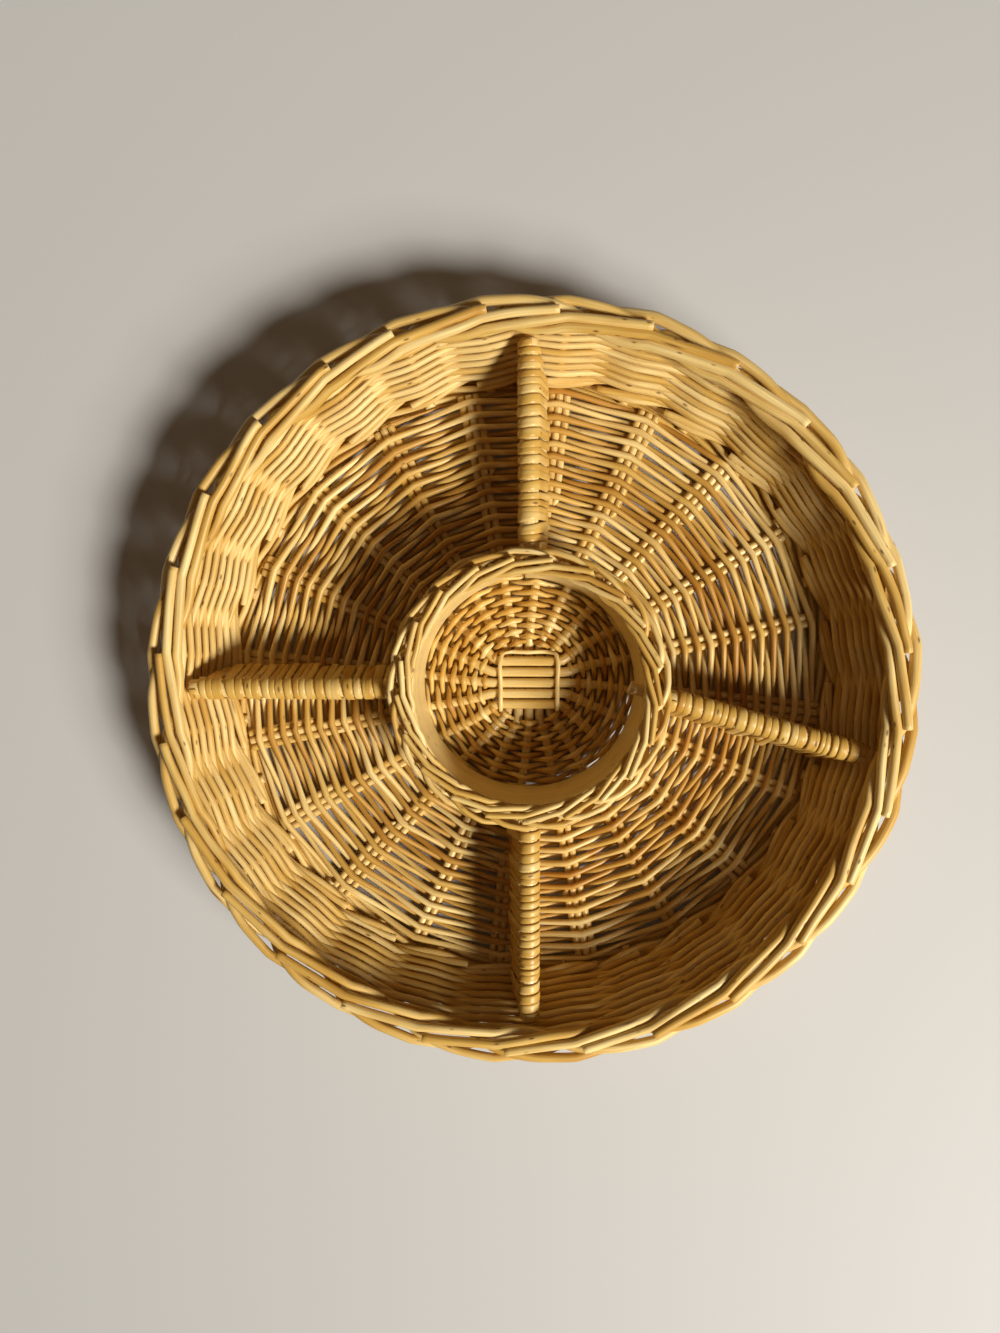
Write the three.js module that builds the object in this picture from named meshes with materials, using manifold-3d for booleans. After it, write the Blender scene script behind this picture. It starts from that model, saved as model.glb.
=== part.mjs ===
// Divided serving tray of peeled willow: a woven round tray with a cup in the middle and four dividers.
// Sizes are in millimetres, +Z is up, and the origin is the middle of the base on the table.

import * as THREE from 'three';
import { mergeVertices } from 'three/addons/utils/BufferGeometryUtils.js';
import Module from 'manifold-3d';

const wasm = await Module();
wasm.setup();

const degrees = THREE.MathUtils.degToRad;

// Overall sizes
const RIM_DIAMETER = 380;
const TRAY_HEIGHT = 58;
const WALL_FOOT_DIAMETER = 314;
const CUP_RIM_DIAMETER = 140;
const CUP_HEIGHT = 55;
const CUP_BORE = 113;
const CLEARANCE = 0.3;

// Base: crossed sticks, opened out to spokes
const STICKS_EACH_WAY = 5;
const STICK_DIAMETER = 4.4;
const STICK_PITCH = 5.7;
const SPOKE_TWIST = degrees(-6);
const OPENING_RADIUS = 36;
const TIE_DIAMETER = 1.2;

// Floor weave
const FLOOR_ROD_DIAMETER = 3.4;
const CUP_FLOOR_ROD_DIAMETER = 2.4;

// Side stakes, which turn down into the rolled border
const STAKE_COUNT = 28;
const STAKE_DIAMETER = 4.8;
const STAKE_FOOT_LENGTH = 5.5;
const STAKE_PHASE = degrees(7.3);
const BORDER_SPACINGS = 4.5;
const BORDER_ROLL = degrees(300);
const BORDER_SPREAD = 1.8;
const BORDER_SLACK = 1.1;

// Wall weave and the wale at its foot
const WALL_ROD_DIAMETER = 2.6;
const WALE_WIDTH = 9;

// Cup in the middle
const CUP_BAND_THICKNESS = 1.6;
const CUP_BAND_LAP = degrees(9);
const CUP_BAND_JOINT = degrees(92);
const CUP_WALL_THICKNESS = 5.4;
const CUP_WALL_ROWS = 6;
const CUP_ROW_RELIEF = 0.9;
const CUP_BORDER_ROD_DIAMETER = 4;
const CUP_BORDER_ROUNDS = 3;
const CUP_BORDER_TURNS = 20;
const CUP_BORDER_SPREAD = 2;
const CUP_BORDER_SLACK = 1.25;

// Dividers: a top rod and a foot rod, bound together by one flat skein
const DIVIDER_ANGLES = [90, 180, 270, 344].map(degrees);
const DIVIDER_SHIFTS = [0, 0, 0, 14.5];
const TOP_ROD_DIAMETER = 8.6;
const FOOT_ROD_DIAMETER = 6;
const DIVIDER_LEAN = 6;
const SKEIN_WIDTH = 4.2;
const SKEIN_THICKNESS = 1.2;
const SKEIN_GAP = 0.5;

// Facets
const STICK_SIDES = 6;
const STAKE_SIDES = 5;
const WEAVER_SIDES = 4;
const DIVIDER_ROD_SIDES = 10;
const BORDER_STEPS_PER_SPACING = 2;
const CUP_BORDER_STEPS_PER_TURN = 6;
const ROUND_STEPS = 40;
const WALE_STEPS = 56;
const WELD = 1e-4;
const STEEPEST = 0.1;

// Finishes
const rodFinish = new THREE.MeshStandardMaterial({ color: 0xcf9d4f, roughness: 0.5, metalness: 0 });
const weaverFinish = new THREE.MeshStandardMaterial({ color: 0xc8923f, roughness: 0.55, metalness: 0 });
const bandFinish = new THREE.MeshStandardMaterial({ color: 0xd6ac5c, roughness: 0.45, metalness: 0 });
const skeinFinish = new THREE.MeshStandardMaterial({ color: 0xd9ac57, roughness: 0.4, metalness: 0 });

// A point given by its distance from the upright axis, its angle and its height
function polar(radius, angle, height) {
  return new THREE.Vector3(radius * Math.cos(angle), radius * Math.sin(angle), height);
}

// One closed skin over a list of equal rings of points; the ends are capped, or joined in a loop
function skin(rings, looped = false) {
  const sides = rings[0].length;
  const positions = rings.flat().flatMap((point) => [point.x, point.y, point.z]);
  const faces = [];
  const bands = looped ? rings.length : rings.length - 1;
  for (let ring = 0; ring < bands; ring++) {
    const next = (ring + 1) % rings.length;
    for (let side = 0; side < sides; side++) {
      const turn = (side + 1) % sides;
      const [a, b] = [ring * sides + side, ring * sides + turn];
      const [c, d] = [next * sides + side, next * sides + turn];
      faces.push(a, b, d, a, d, c);
    }
  }
  const last = (rings.length - 1) * sides;
  for (let side = 1; side < sides - 1 && !looped; side++) {
    faces.push(0, side + 1, side, last, last + side, last + side + 1);
  }
  const geometry = new THREE.BufferGeometry();
  geometry.setAttribute('position', new THREE.Float32BufferAttribute(positions, 3));
  geometry.setIndex(faces);
  return geometry;
}

// A willow rod along a bent line, with each bend mitred and a blunt cut at both ends, or looped into a ring
function rod(line, diameter, sides, looped = false) {
  const count = line.length;
  const runs = line.map((point, i) => line[(i + 1) % count].clone().sub(point).normalize());
  if (!looped) runs[count - 1] = runs[count - 2].clone();
  const upright = new THREE.Vector3(0, 0, 1);
  const across = new THREE.Vector3().crossVectors(runs[0], upright);
  if (across.length() < STEEPEST) across.set(1, 0, 0);
  across.normalize();
  const bend = new THREE.Quaternion();
  const rings = line.map((point, i) => {
    const before = i > 0 ? runs[i - 1] : looped ? runs[count - 1] : runs[0];
    if (looped) across.crossVectors(before, upright).normalize();
    else if (i > 0) across.applyQuaternion(bend.setFromUnitVectors(runs[Math.max(i - 2, 0)], before));
    const up = new THREE.Vector3().crossVectors(before, across);
    const mitre = before.clone().add(runs[i]).normalize();
    return Array.from({ length: sides }, (unused, side) => {
      const turn = 2 * Math.PI * side / sides;
      const corner = across.clone().multiplyScalar(Math.cos(turn)).addScaledVector(up, Math.sin(turn));
      corner.multiplyScalar(diameter / 2);
      return corner.addScaledVector(before, -corner.dot(mitre) / before.dot(mitre)).add(point);
    });
  });
  return skin(rings, looped);
}

// A ring turned about the upright axis from its section, listed as [radius, height]
function turnedRing(section, steps) {
  const closed = [...section, section[0]].map(([radius, height]) => new THREE.Vector2(radius, height));
  const geometry = new THREE.LatheGeometry(closed, steps);
  geometry.rotateX(Math.PI / 2);
  geometry.deleteAttribute('normal');
  geometry.deleteAttribute('uv');
  return mergeVertices(geometry, WELD);
}

// Several touching rods made into one body
function join(geometries) {
  const solids = geometries.map((geometry) => new wasm.Manifold(new wasm.Mesh({
    numProp: 3,
    vertProperties: new Float32Array(geometry.getAttribute('position').array),
    triVerts: new Uint32Array(geometry.index.array),
  })));
  const mesh = solids.reduce((whole, solid) => whole.add(solid)).getMesh();
  const joined = new THREE.BufferGeometry();
  joined.setAttribute('position', new THREE.Float32BufferAttribute(mesh.vertProperties, 3));
  joined.setIndex(Array.from(mesh.triVerts));
  return joined;
}

const tray = new THREE.Group();

function addPiece(name, geometry, finish) {
  const piece = new THREE.Mesh(geometry, finish);
  piece.name = name;
  tray.add(piece);
}

// Levels and circles that several pieces share
const spokeCount = 4 * STICKS_EACH_WAY;
const spokeSpacing = 2 * Math.PI / spokeCount;
const bandInside = CUP_BORE / 2;
const bandOutside = bandInside + 2 * CUP_BAND_THICKNESS + CLEARANCE;
const cupWallInside = bandOutside + CLEARANCE;
const cupWallOutside = cupWallInside + CUP_WALL_THICKNESS;
const wallFoot = WALL_FOOT_DIAMETER / 2;
const footStart = wallFoot - STAKE_FOOT_LENGTH;

// How far a rod's middle, and its far edge, lie from the floor middle where it crosses a spoke at this radius
function weaveLift(radius, diameter) {
  const reach = (STICK_DIAMETER + diameter) / 2 + CLEARANCE;
  const spacing = 2 * radius * Math.sin(spokeSpacing / 2);
  const level = Math.sqrt(1 - (2 * reach / spacing) ** 2);
  return { middle: reach / level, edge: (reach + diameter / 2) / level };
}

const floorField = {
  diameter: FLOOR_ROD_DIAMETER,
  inner: (cupWallOutside + CLEARANCE + FLOOR_ROD_DIAMETER / 2) / Math.cos(spokeSpacing / 2),
  outer: footStart - CLEARANCE - FLOOR_ROD_DIAMETER / 2,
};
const cupField = {
  diameter: CUP_FLOOR_ROD_DIAMETER,
  inner: OPENING_RADIUS,
  outer: bandInside - CLEARANCE - CUP_FLOOR_ROD_DIAMETER / 2,
};
const floorMiddle = Math.max(...[floorField, cupField].map(({ inner, diameter }) => (
  weaveLift(inner, diameter).edge)));
const floorTop = 2 * floorMiddle;
const cupFoot = floorMiddle + STICK_DIAMETER / 2 + CLEARANCE;

// The angle of a spoke at this radius: the weave in the cup turns the spokes a little as it works outwards
function spokeAngle(spoke, radius) {
  const share = THREE.MathUtils.clamp((radius - OPENING_RADIUS) / (bandInside - OPENING_RADIUS), 0, 1);
  return spoke * spokeSpacing + share * SPOKE_TWIST;
}

// Base sticks: five lie across over five that lie along; past the cross each end opens out to its spoke
const outerStick = (STICKS_EACH_WAY - 1) / 2 * STICK_PITCH;
const slathHalf = outerStick + STICK_DIAMETER / 2 + 2 * CLEARANCE + TIE_DIAMETER;
const bendRadius = Math.hypot(slathHalf + TIE_DIAMETER, outerStick);
const layerRise = (STICK_DIAMETER + CLEARANCE) / 2;
const spokeBends = [OPENING_RADIUS, (OPENING_RADIUS + bandInside) / 2, bandInside, footStart - CLEARANCE];
for (const [way, turn, level] of [['across', 0, layerRise], ['along', Math.PI / 2, -layerRise]]) {
  for (let stick = 0; stick < STICKS_EACH_WAY; stick++) {
    const place = stick - (STICKS_EACH_WAY - 1) / 2;
    const halfLine = (end) => {
      const aside = end * place * STICK_PITCH;
      const bend = new THREE.Vector3(Math.sqrt(bendRadius ** 2 - aside ** 2), aside, floorMiddle + level);
      const onSpoke = (radius) => polar(radius, spokeAngle(end * place, radius), floorMiddle);
      return [bend, ...spokeBends.map(onSpoke)];
    };
    const back = halfLine(-1).map((point) => new THREE.Vector3(-point.x, -point.y, point.z));
    const geometry = rod([...back.reverse(), ...halfLine(1)], STICK_DIAMETER, STICK_SIDES);
    geometry.rotateZ(turn);
    addPiece(`base_stick_${way}_${stick + 1}`, geometry, rodFinish);
  }
}

// Tie of the cross: over the sticks on three sides, with both ends tucked down at the fourth
const tieLift = STICK_DIAMETER / 2 + CLEARANCE + TIE_DIAMETER / 2;
const tieHigh = floorMiddle + layerRise + tieLift;
const tieLow = floorMiddle - layerRise + tieLift;
const tieCorner = (x, y, height) => new THREE.Vector3(x * slathHalf, y * slathHalf, height);
addPiece('slath_tie', rod([
  tieCorner(-1, -1, floorMiddle),
  tieCorner(-1, -1, tieHigh),
  tieCorner(-1, 1, tieHigh),
  new THREE.Vector3(-outerStick, slathHalf, tieLow),
  new THREE.Vector3(outerStick, slathHalf, tieLow),
  tieCorner(1, 1, tieHigh),
  tieCorner(1, -1, tieHigh),
  tieCorner(1, -1, floorMiddle),
], TIE_DIAMETER, WEAVER_SIDES), weaverFinish);

// Floor weave: two rods chase each other outwards, over one spoke and under the next
function floorWeaver({ inner, outer, diameter }, start) {
  const pitch = diameter + CLEARANCE;
  const crossings = Math.floor((outer - inner - pitch) / (2 * pitch) * spokeCount);
  const line = [];
  for (let crossing = 0; crossing <= crossings; crossing++) {
    const radius = inner + pitch * (start + 2 * crossing / spokeCount);
    const side = (crossing + start) % 2 === 0 ? 1 : -1;
    const height = floorMiddle + side * weaveLift(radius, diameter).middle;
    line.push(polar(radius, spokeAngle(crossing, radius), height));
  }
  return rod(line, diameter, WEAVER_SIDES);
}

for (const [name, field] of [['floor_weaver', floorField], ['cup_floor_weaver', cupField]]) {
  for (const start of [0, 1]) {
    addPiece(`${name}_${start + 1}`, floorWeaver(field, start), weaverFinish);
  }
}

// Rolled border: in section a stake goes round an oval, up the inside, over the top and down the outside
const stakeSpacing = 2 * Math.PI / STAKE_COUNT;
const rollPerSpacing = BORDER_ROLL / BORDER_SPACINGS;
const borderRise = BORDER_SLACK * (STAKE_DIAMETER + CLEARANCE) / (2 * Math.sin(rollPerSpacing / 2));
const borderReach = borderRise + BORDER_SPREAD;
const borderMiddle = TRAY_HEIGHT - borderRise - STAKE_DIAMETER / 2;
const borderRadius = RIM_DIAMETER / 2 - borderReach - STAKE_DIAMETER / 2;
const wallTop = borderMiddle - borderRise;
const wallRise = wallTop - floorMiddle;
const wallFlare = borderRadius - wallFoot;
const wallLength = Math.hypot(wallRise, wallFlare);

// A point on the slanting wall: its angle, its way up the slant and its distance outwards from the stakes
function onWall(angle, climb, outwards) {
  const radius = wallFoot + (climb * wallFlare + outwards * wallRise) / wallLength;
  const height = floorMiddle + (climb * wallRise - outwards * wallFlare) / wallLength;
  return polar(radius, angle, height);
}

// Side stakes: each is one rod from the floor edge, up the wall and into the border, turning clockwise
for (let stake = 0; stake < STAKE_COUNT; stake++) {
  const angle = STAKE_PHASE - stake * stakeSpacing;
  const line = [polar(footStart, angle, floorMiddle), polar(wallFoot, angle, floorMiddle)];
  const steps = Math.round(BORDER_SPACINGS * BORDER_STEPS_PER_SPACING);
  for (let step = 0; step <= steps; step++) {
    const spacings = step / BORDER_STEPS_PER_SPACING;
    const roll = -Math.PI / 2 - spacings * rollPerSpacing;
    const radius = borderRadius + borderReach * Math.cos(roll);
    line.push(polar(radius, angle - spacings * stakeSpacing, borderMiddle + borderRise * Math.sin(roll)));
  }
  addPiece(`side_stake_${stake + 1}`, rod(line, STAKE_DIAMETER, STAKE_SIDES), rodFinish);
}

// Wall weave: one rod starts at each stake, goes outside one and inside the next, climbing half a row at each
const wallReach = (STAKE_DIAMETER + WALL_ROD_DIAMETER) / 2 + CLEARANCE;
const wallHalfRow = WALL_ROD_DIAMETER + CLEARANCE;
const weaveTop = wallLength - wallReach * (1 + wallFlare / wallLength);
const wallCrossings = Math.floor((weaveTop - wallReach) / wallHalfRow);
const waleTop = floorMiddle - STAKE_DIAMETER / 2 - CLEARANCE;
const waleEdge = waleTop / 3;
const wale = turnedRing([
  [footStart, 0],
  [footStart + WALE_WIDTH, 0],
  [footStart + WALE_WIDTH + waleEdge, waleEdge],
  [footStart + WALE_WIDTH + waleEdge, waleTop - waleEdge],
  [footStart + WALE_WIDTH, waleTop],
  [footStart, waleTop],
], WALE_STEPS);
const wallRods = [];
for (let stake = 0; stake < STAKE_COUNT; stake++) {
  const start = STAKE_PHASE - stake * stakeSpacing;
  const line = [polar(footStart + WALE_WIDTH, start + stakeSpacing / 2, waleTop / 2)];
  for (let crossing = 0; crossing <= wallCrossings; crossing++) {
    const side = crossing % 2 === 0 ? 1 : -1;
    line.push(onWall(start - crossing * stakeSpacing, wallReach + crossing * wallHalfRow, side * wallReach));
  }
  wallRods.push(rod(line, WALL_ROD_DIAMETER, WEAVER_SIDES));
}
addPiece('wall_weave', join([wale, ...wallRods]), weaverFinish);

// Cup band: a flat strip bent to a ring inside the cup, its end lapped behind its start
const cupBorderRise = CUP_BORDER_SLACK * (CUP_BORDER_ROD_DIAMETER + CLEARANCE) / Math.sqrt(CUP_BORDER_ROUNDS);
const cupBorderReach = cupBorderRise + CUP_BORDER_SPREAD;
const cupBorderMiddle = CUP_HEIGHT - cupBorderRise - CUP_BORDER_ROD_DIAMETER / 2;
const cupBorderFoot = cupBorderMiddle - cupBorderRise - CUP_BORDER_ROD_DIAMETER / 2;
const cupBorderRadius = CUP_RIM_DIAMETER / 2 - cupBorderReach - CUP_BORDER_ROD_DIAMETER / 2;
const bandTop = cupBorderFoot - CLEARANCE;
const bandStep = 2 * Math.PI / ROUND_STEPS;
const bandEase = 2 * Math.PI - 3 * CUP_BAND_LAP;
const bandRings = [];
for (let step = 0; step * bandStep <= 2 * Math.PI + CUP_BAND_LAP; step++) {
  const passed = THREE.MathUtils.smoothstep(step * bandStep, bandEase, 2 * Math.PI - bandStep);
  const inside = bandInside + passed * (CUP_BAND_THICKNESS + CLEARANCE);
  const angle = CUP_BAND_JOINT + step * bandStep;
  bandRings.push([
    polar(inside, angle, cupFoot),
    polar(inside, angle, bandTop),
    polar(inside + CUP_BAND_THICKNESS, angle, bandTop),
    polar(inside + CUP_BAND_THICKNESS, angle, cupFoot),
  ]);
}
addPiece('cup_band', skin(bandRings), bandFinish);

// Cup wall: rows of weave on the outside of the cup, standing on the spokes
const cupRowHeight = (bandTop - cupFoot) / CUP_WALL_ROWS;
const cupRows = Array.from({ length: CUP_WALL_ROWS }, (unused, row) => [
  [cupWallOutside - CUP_ROW_RELIEF, cupFoot + row * cupRowHeight],
  [cupWallOutside, cupFoot + (row + 0.5) * cupRowHeight],
]).flat();
addPiece('cup_wall', turnedRing([
  [cupWallInside, cupFoot],
  ...cupRows,
  [cupWallOutside - CUP_ROW_RELIEF, bandTop],
  [cupWallInside, bandTop],
], ROUND_STEPS), weaverFinish);

// Cup border: a rod that goes three times round the rim and is laid round itself
const cupBorderSteps = CUP_BORDER_TURNS * CUP_BORDER_STEPS_PER_TURN;
const cupBorderLine = Array.from({ length: cupBorderSteps }, (unused, step) => {
  const share = step / cupBorderSteps;
  const roll = -2 * Math.PI * CUP_BORDER_TURNS * share;
  const radius = cupBorderRadius + cupBorderReach * Math.cos(roll);
  const angle = -2 * Math.PI * CUP_BORDER_ROUNDS * share;
  return polar(radius, angle, cupBorderMiddle + cupBorderRise * Math.sin(roll));
});
addPiece('cup_border', rod(cupBorderLine, CUP_BORDER_ROD_DIAMETER, STAKE_SIDES, true), rodFinish);

// Dividers are made along +X, shifted aside where they don't point at the middle, and turned to their places
const wallInset = (STAKE_DIAMETER / 2 + WALL_ROD_DIAMETER + 2 * CLEARANCE) * wallLength / wallRise;
const skeinReach = TOP_ROD_DIAMETER / 2 + CLEARANCE + SKEIN_THICKNESS / 2;
const topRodLevel = cupBorderFoot - CLEARANCE - skeinReach - SKEIN_THICKNESS / 2;
const skeinFoot = floorTop + CLEARANCE + SKEIN_THICKNESS / 2;
const footRodLevel = skeinFoot + SKEIN_THICKNESS / 2 + CLEARANCE + FOOT_ROD_DIAMETER / 2;
const skeinPitch = SKEIN_WIDTH + SKEIN_GAP;
const cupSide = cupWallOutside + CLEARANCE;
const wallRadiusAt = (height) => wallFoot + (height - floorMiddle) * wallFlare / wallRise - wallInset;
const wallHeightAt = (radius) => floorMiddle + (radius + wallInset - wallFoot) * wallRise / wallFlare;
const topRodEnd = wallRadiusAt(topRodLevel - TOP_ROD_DIAMETER / 2) - CLEARANCE;
const footRodEnd = wallRadiusAt(skeinFoot - SKEIN_THICKNESS / 2) - 2 * SKEIN_WIDTH;

function dividerRod(diameter, level, lean, end) {
  const line = [new THREE.Vector3(cupSide, lean, level), new THREE.Vector3(end, lean, level)];
  return rod(line, diameter, DIVIDER_ROD_SIDES);
}

// One loop of the skein, as its corners [aside, height]: round the top rod and down to the floor or the wall
function skeinLoop(station) {
  const corner = skeinReach / Math.cos(Math.PI / 6);
  const foot = Math.max(skeinFoot, wallHeightAt(station + SKEIN_WIDTH) + CLEARANCE + SKEIN_THICKNESS / 2);
  const lean = -DIVIDER_LEAN * (topRodLevel - foot) / (topRodLevel - footRodLevel);
  return [
    [corner, topRodLevel],
    [corner / 2, topRodLevel + skeinReach],
    [-corner / 2, topRodLevel + skeinReach],
    [-corner, topRodLevel],
    [lean - corner, foot],
    [lean + corner, foot],
  ];
}

const skeinStart = cupSide + SKEIN_WIDTH / 2;
const skeinEnd = wallRadiusAt(topRodLevel - skeinReach - CLEARANCE) - 2 * SKEIN_WIDTH;
const skeinLoops = Math.floor((skeinEnd - skeinStart) / skeinPitch);
const loopCorners = 6;

// The skein as rings of four points: a flat strip that winds on from loop to loop
function skeinRings() {
  const rings = [];
  for (let step = 0; step <= skeinLoops * loopCorners; step++) {
    const station = skeinStart + step / loopCorners * skeinPitch;
    const loop = skeinLoop(station);
    const corner = step % loopCorners;
    const [last, at, next] = [-1, 0, 1].map((way) => (
      new THREE.Vector2(...loop[(corner + way + loopCorners) % loopCorners])));
    const before = at.clone().sub(last).normalize();
    const after = next.sub(at).normalize();
    const mitre = new THREE.Vector2(before.y + after.y, -before.x - after.x).normalize();
    const half = SKEIN_THICKNESS / 2 / (mitre.x * before.y - mitre.y * before.x);
    const edge = (along, out) => {
      const face = mitre.clone().multiplyScalar(out * half).add(at);
      return new THREE.Vector3(station + along * SKEIN_WIDTH / 2, face.x, face.y);
    };
    rings.push([edge(-1, 1), edge(-1, -1), edge(1, -1), edge(1, 1)]);
  }
  return rings;
}

// The least distance between one loop of the skein and the next, on the points of its edges
function leastGap(rings) {
  let least = Infinity;
  rings.slice(loopCorners).forEach((ring, i) => {
    const facing = rings[i];
    for (const [near, far] of [[0, 3], [1, 2]]) {
      least = Math.min(least, ring[near].distanceTo(facing[far]));
    }
  });
  return least;
}

const skein = skeinRings();
console.log(`divider winding: ${skeinLoops} loops, least gap to itself ${leastGap(skein).toFixed(2)} mm`);
DIVIDER_ANGLES.forEach((angle, i) => {
  const shift = DIVIDER_SHIFTS[i];
  const topEnd = Math.sqrt(topRodEnd ** 2 - (shift + TOP_ROD_DIAMETER / 2) ** 2);
  const pieces = [
    ['top_rod', dividerRod(TOP_ROD_DIAMETER, topRodLevel, 0, topEnd), rodFinish],
    ['foot_rod', dividerRod(FOOT_ROD_DIAMETER, footRodLevel, -DIVIDER_LEAN, footRodEnd), rodFinish],
    ['winding', skin(skein), skeinFinish],
  ];
  for (const [name, geometry, finish] of pieces) {
    addPiece(`divider_${i + 1}_${name}`, geometry.translate(0, shift, 0).rotateZ(angle), finish);
  }
});

export default tray;
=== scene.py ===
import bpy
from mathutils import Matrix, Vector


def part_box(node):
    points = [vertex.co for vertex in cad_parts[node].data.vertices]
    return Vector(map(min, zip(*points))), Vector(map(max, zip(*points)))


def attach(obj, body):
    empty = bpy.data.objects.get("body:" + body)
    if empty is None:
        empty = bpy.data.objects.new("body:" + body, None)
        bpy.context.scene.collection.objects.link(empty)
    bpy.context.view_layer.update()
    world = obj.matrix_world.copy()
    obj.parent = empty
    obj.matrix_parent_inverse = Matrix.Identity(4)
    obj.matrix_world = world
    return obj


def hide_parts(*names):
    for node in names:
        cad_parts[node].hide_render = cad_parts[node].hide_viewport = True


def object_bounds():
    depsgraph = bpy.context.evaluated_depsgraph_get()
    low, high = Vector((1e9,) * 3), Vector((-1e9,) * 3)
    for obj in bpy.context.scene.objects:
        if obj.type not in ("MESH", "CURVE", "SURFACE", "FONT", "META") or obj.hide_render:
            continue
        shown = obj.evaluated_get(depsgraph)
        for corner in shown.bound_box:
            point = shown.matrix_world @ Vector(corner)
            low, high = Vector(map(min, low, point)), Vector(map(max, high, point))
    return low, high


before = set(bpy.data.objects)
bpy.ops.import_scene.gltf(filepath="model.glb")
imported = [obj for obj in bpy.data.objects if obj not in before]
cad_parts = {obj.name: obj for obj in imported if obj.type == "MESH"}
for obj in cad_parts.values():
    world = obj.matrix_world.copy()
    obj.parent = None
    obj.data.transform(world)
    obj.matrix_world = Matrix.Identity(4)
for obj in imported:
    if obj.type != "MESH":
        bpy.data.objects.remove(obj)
CAD_BOX = [list(corner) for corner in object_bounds()]

import math
from types import SimpleNamespace

import bpy
import numpy as np
from bpy.props import FloatProperty, FloatVectorProperty, IntProperty, PointerProperty
from mathutils import Matrix

bl_info = {
    "name": "Divided willow serving tray",
    "version": (1, 0, 0),
    "blender": (4, 5, 0),
    "location": "3D View > Sidebar > Willow tray",
    "description": "Weaves a round willow tray with a cup in the middle and wrapped dividers",
    "category": "Add Mesh",
}

MM = 0.001
FULL_TURN = 2 * math.pi

FLOOR_LOW, FLOOR_HIGH = (corner[2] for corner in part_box("floor_weaver_1"))
TOP_ROD_LOW, TOP_ROD_HIGH = (corner[2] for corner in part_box("divider_1_top_rod"))
CUP_RIM_RADIUS, _, CUP_RIM_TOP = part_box("cup_border")[1]

# The way of one border rod, as [stake spacings gone, rods outwards, rods upwards]. It leaves the
# wall, runs along the outer edge, ducks under to the inner edge and comes up to its cut end.
BORDER_ROUTE = np.array([
    [0.1, 0.2, -0.25], [0.25, 0.72, -0.05], [0.5, 1.05, 0.35], [0.75, 1.14, 0.7], [1, 1.17, 1],
    [1.25, 1.16, 1.2], [1.5, 1.1, 1.3], [1.75, 0.8, 1.24], [2, 0.34, 0.9], [2.25, -0.32, 0.64],
    [2.5, -0.86, 0.62], [2.75, -1.1, 0.92], [3, -1.08, 1.36], [3.25, -0.94, 1.6],
    [3.5, -0.76, 1.76], [3.75, -0.56, 1.87], [4, -0.36, 1.95], [4.25, -0.18, 2.02],
    [4.5, 0, 2.09], [4.75, 0.17, 2.15], [5, 0.32, 2.18], [5.25, 0.45, 2.18],
])
BORDER_TOP = BORDER_ROUTE[:, 2].max()
# How many rods the border reaches out from the stakes, and after how many spacings a rod ends.
BORDER_REACH = 1.1
BORDER_END, LONGEST_END = 5.0, 5.2

# The crossed sticks bend out to spokes on one circle, come to one level on another, and pass
# through these radii.
CROSS_BEND = 19.5 * MM
ONE_LEVEL = 42 * MM
SPOKE_RADII = np.array([30, 42, 58, 80, 115, 153]) * MM
# Sticks beside the spokes, as [hand, nearest and farthest start in millimetres, share set in].
SIDE_STICK_SETS = ((1, 58, 66, 1), (-1, 88, 118, 0.65))
# How thick a side stick is for its width.
SIDE_STICK_FLAT = 0.88

# Which way each divider points, and how far it stands aside of the line through the middle.
DIVIDER_ANGLES = np.radians([90, 180, 270, 344])
DIVIDER_SHIFTS = np.array([0, 0, 0, 14.5]) * MM

# A cut end bulges by one share of the rod's half thickness and shrinks to the other.
END_PUSH, END_SHRINK = 0.16, 0.84
# Each rod takes its grain this far from the rod before it, so no two look alike.
GRAIN_STEP = 0.731

# What each kind of willow changes on the plain finish.
PLAIN_FINISH = dict(
    pale=0.0, rough=0.4, coat=0.3, streak_width=0.9 * MM, streak_length=28 * MM, streaks=0.35)
FINISHES = {
    "peeled_stick": dict(pale=0.1),
    "floor_willow": dict(rough=0.45, coat=0.14),
    "border_willow": dict(pale=0.06, rough=0.47, coat=0.1),
    "wall_willow": dict(pale=0.05, rough=0.54, coat=0.07),
    "band_willow": dict(pale=0.4, streak_length=60 * MM),
    "skein_willow": dict(rough=0.42, coat=0.1, streak_width=0.5 * MM, streaks=0.25),
}

# What a mesh keeps at each point, as [name, kind, field, numbers in it].
POINT_FIELDS = (
    ("grain", "FLOAT_VECTOR", "vector", 3),
    ("tone", "FLOAT", "value", 1),
    ("cut", "FLOAT", "value", 1),
)


def length(name, description, default):
    """A size of the tray in metres."""
    return FloatProperty(
        name=name, description=description, default=default, unit="LENGTH", precision=5)


def number(name, description, default):
    """How many like rods there are."""
    return IntProperty(name=name, description=description, default=default)


def colour(name, description, default):
    """A colour of the willow, as linear red, green and blue."""
    return FloatVectorProperty(
        name=name, description=description, default=default, subtype="COLOR", size=3, min=0, max=1)


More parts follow.
